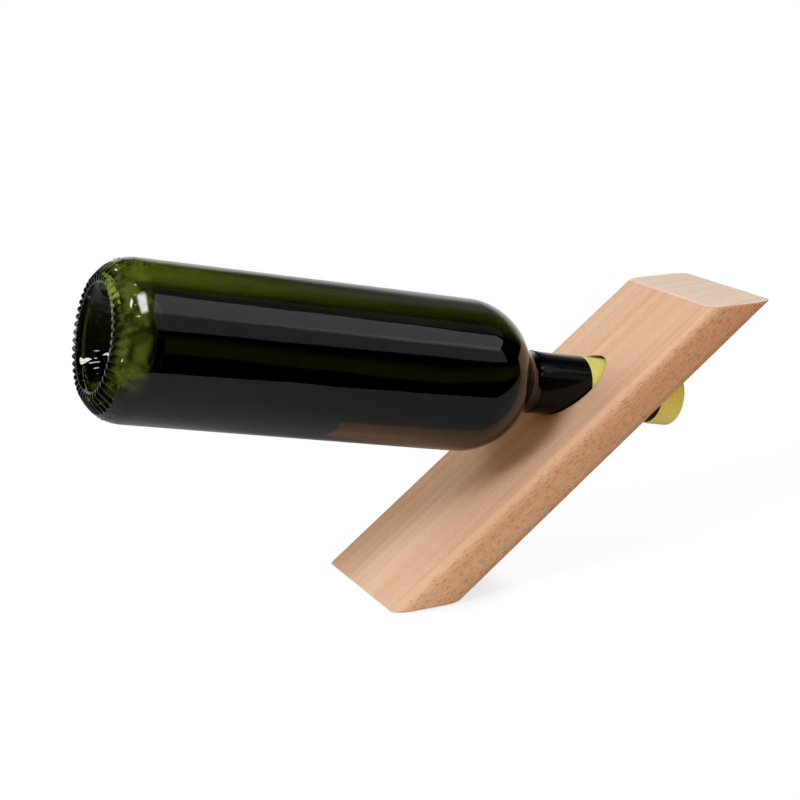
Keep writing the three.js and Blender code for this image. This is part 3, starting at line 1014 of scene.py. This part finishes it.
def area_light(name, place, aim, size, radiance, tint=WHITE, matt=True, gloss=True, roll=0.0, soft=None):
    """Rectangular light that faces a point, with its power worked out from the brightness of its face.

    It can be kept out of the light on matt surfaces, or out of what shiny ones mirror. Its brightness can
    rise over a share of its width and height from each edge: left, right, lower and upper.
    """
    data = bpy.data.lights.new(name, "AREA")
    data.shape = "RECTANGLE"
    data.size, data.size_y = size
    data.energy = radiance * math.pi * size[0] * size[1]
    data.color = tint
    if soft:
        data.use_nodes = True
        n = Nodes(data.node_tree)
        face = n.add("ShaderNodeNewGeometry", "Parametric")
        left, right, lower, upper = soft
        across, up = (n.axis_part(face, part) for part in "XY")
        wide = n.times(n.step(across, 0, left), n.step(across, 1, 1 - right))
        high = n.times(n.step(up, 0, lower), n.step(up, 1, 1 - upper))
        n.feed(data.node_tree.nodes["Emission"].inputs["Strength"], n.times(wide, high))
    light = bpy.data.objects.new(name, data)
    light.location = place
    turn = (Vector(aim) - Vector(place)).to_track_quat("-Z", "Y") @ Quaternion((0, 0, 1), roll)
    light.rotation_euler = turn.to_euler()
    light.visible_camera = False
    light.visible_diffuse = matt
    light.visible_glossy = gloss
    light.visible_transmission = False
    bpy.context.scene.collection.objects.link(light)


def studio_world(settings):
    """White background for the picture, soft fill on matt surfaces, and a dark room in the glass.

    The fill is pale from above and warm from the sides. What shiny surfaces mirror is white low behind the
    object. What shines through glass is light that comes steeply along the bottle, and a faint stretch below
    the horizon.
    """
    back_behind, back_up = (0.25, 0.7), (0.45, 0.15)
    veil_across, veil_behind = (0.46, 0.64), (0.3, 0.6)
    steep = (0.54, 0.64)
    stretch_foot, stretch_head = (-0.31, -0.25), (-0.19, -0.205)
    sky_up = (0.2, 0.8)
    world = bpy.data.worlds.new("studio_world")
    bpy.context.scene.world = world
    world.use_nodes = True
    n = Nodes(world.node_tree)
    towards = n.add("ShaderNodeTexCoord", "Generated")
    height = n.axis_part(towards, "Z")
    behind = n.axis_part(towards, "Y")
    back = n.times(n.step(behind, *back_behind), n.step(height, *back_up))
    veil = n.times(n.step(n.axis_part(towards, "X"), *veil_across), n.step(behind, *veil_behind))
    mirror = n.math("MULTIPLY_ADD", veil, settings.veil, n.times(back, settings.back_glow))
    along = n.vector("DOT_PRODUCT", towards, tuple(BOTTLE_AXIS), "Value")
    heel = n.times(n.step(along, *steep), settings.heel_glow)
    below = n.times(n.step(height, *stretch_foot), n.step(height, *stretch_head))
    through = n.math("MULTIPLY_ADD", below, settings.room_glow, heel)

    light = n.math("MULTIPLY_ADD", mirror, n.mirrored(), n.ray("Camera"))
    light = n.math("MULTIPLY_ADD", through, n.ray("Transmission"), light)
    light = n.math("ADD", light, n.ray("Diffuse"))
    background = world.node_tree.nodes["Background"]
    n.feed(background.inputs["Strength"], light)
    fill = n.mix(n.step(height, *sky_up), settings.low_room, settings.high_sky)
    n.feed(background.inputs["Color"], n.mix(n.ray("Diffuse"), WHITE, fill))


def studio_camera(settings):
    """Camera at the picture's place, aimed and rolled to match it."""
    data = bpy.data.cameras.new("picture_camera")
    data.sensor_width = 36
    data.lens = settings.camera_lens
    data.clip_start = 0.01
    camera = bpy.data.objects.new("picture_camera", data)
    place, aim = Vector(settings.camera_place), Vector(settings.camera_aim)
    facing = (aim - place).to_track_quat("-Z", "Y").to_matrix()
    facing = facing @ Matrix.Rotation(settings.camera_roll, 3, "Z")
    camera.matrix_world = Matrix.Translation(place) @ facing.to_4x4()
    bpy.context.scene.collection.objects.link(camera)
    bpy.context.scene.camera = camera


# Operators

def finish_piece(piece, body, node, slot, *materials):
    """Gives a piece its materials and its body, and hides its CAD node. The slot is not used."""
    for material in materials:
        piece.data.materials.append(material)
    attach(piece, body)
    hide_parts(node)


class BOTTLE_HOLDER_OT_plank(bpy.types.Operator):
    """Build the leaning beech plank with its slanted hole"""

    bl_idname = "bottle_holder.plank"
    bl_label = "Beech Plank"

    def execute(self, context):
        settings = context.scene.bottle_holder_plank
        finish_piece(plank_object(settings), "holder", "holder_plank", "beech", beech(settings))
        return {"FINISHED"}


class BOTTLE_HOLDER_OT_glass(bpy.types.Operator):
    """Build the olive glass bottle"""

    bl_idname = "bottle_holder.glass"
    bl_label = "Bottle Glass"

    def execute(self, context):
        bottle, capsule = context.scene.bottle_holder_bottle, context.scene.bottle_holder_capsule
        piece = bottle_object(bottle, capsule)
        finish_piece(piece, "bottle", "bottle_glass", "olive_glass", olive_glass(bottle), wetted_wall(bottle))
        return {"FINISHED"}


class BOTTLE_HOLDER_OT_wine(bpy.types.Operator):
    """Build the wine with its level top"""

    bl_idname = "bottle_holder.wine"
    bl_label = "Wine"

    def execute(self, context):
        bottle = context.scene.bottle_holder_bottle
        finish_piece(wine_object(bottle), "filling", "wine", "pale_wine", wine_colour(bottle))
        return {"FINISHED"}


class BOTTLE_HOLDER_OT_cork(bpy.types.Operator):
    """Build the cork in the bottle's mouth"""

    bl_idname = "bottle_holder.cork"
    bl_label = "Cork"

    def execute(self, context):
        bottle = context.scene.bottle_holder_bottle
        finish_piece(cork_object(bottle), "bottle", "cork", "cork_bark", cork_bark())
        return {"FINISHED"}


class BOTTLE_HOLDER_OT_capsule(bpy.types.Operator):
    """Build the capsule's sleeve and its top disc"""

    bl_idname = "bottle_holder.capsule"
    bl_label = "Capsule"

    def execute(self, context):
        bottle, capsule = context.scene.bottle_holder_bottle, context.scene.bottle_holder_capsule
        sleeve, disc = sleeve_object(bottle, capsule), disc_object(bottle, capsule)
        finish_piece(sleeve, "bottle", "capsule_sleeve", "capsule_film", capsule_film(capsule))
        finish_piece(disc, "bottle", "capsule_top", "capsule_disc", gold_disc(capsule))
        return {"FINISHED"}


class BOTTLE_HOLDER_OT_studio(bpy.types.Operator):
    """Set up the white floor, the lights and the camera"""

    bl_idname = "bottle_holder.studio"
    bl_label = "Studio"

    def execute(self, context):
        settings = context.scene.bottle_holder_studio
        floor = floor_object(settings)
        floor.data.materials.append(studio_floor(settings))
        studio_world(settings)
        for name, place, aim, size, radiance, apart in LIGHTS:
            area_light(name, place, aim, size, radiance, **apart)
        studio_camera(settings)
        view = context.scene.view_settings
        view.view_transform = "Standard"
        view.look = "None"
        return {"FINISHED"}


class BOTTLE_HOLDER_PT_panel(bpy.types.Panel):
    """Lists the pieces of the bottle holder in the sidebar"""

    bl_idname = "BOTTLE_HOLDER_PT_panel"
    bl_label = "Bottle Holder"
    bl_space_type = "VIEW_3D"
    bl_region_type = "UI"
    bl_category = "Bottle Holder"

    def draw(self, context):
        for operator in OPERATORS:
            self.layout.operator(operator.bl_idname)


SETTINGS = {
    "bottle_holder_plank": PlankSettings,
    "bottle_holder_bottle": BottleSettings,
    "bottle_holder_capsule": CapsuleSettings,
    "bottle_holder_studio": StudioSettings,
}
OPERATORS = (
    BOTTLE_HOLDER_OT_plank,
    BOTTLE_HOLDER_OT_glass,
    BOTTLE_HOLDER_OT_wine,
    BOTTLE_HOLDER_OT_cork,
    BOTTLE_HOLDER_OT_capsule,
    BOTTLE_HOLDER_OT_studio,
)


def register():
    """Makes the settings, operators and panel known to Blender."""
    for name, group in SETTINGS.items():
        bpy.utils.register_class(group)
        setattr(bpy.types.Scene, name, PointerProperty(type=group))
    for operator in OPERATORS:
        bpy.utils.register_class(operator)
    bpy.utils.register_class(BOTTLE_HOLDER_PT_panel)


def unregister():
    """Takes them away again."""
    bpy.utils.unregister_class(BOTTLE_HOLDER_PT_panel)
    for operator in reversed(OPERATORS):
        bpy.utils.unregister_class(operator)
    for name, group in SETTINGS.items():
        delattr(bpy.types.Scene, name)
        bpy.utils.unregister_class(group)


def main():
    """Builds every piece and the studio."""
    register()
    bpy.ops.bottle_holder.plank()
    bpy.ops.bottle_holder.glass()
    bpy.ops.bottle_holder.wine()
    bpy.ops.bottle_holder.cork()
    bpy.ops.bottle_holder.capsule()
    bpy.ops.bottle_holder.studio()


if __name__ == "__main__":
    main()
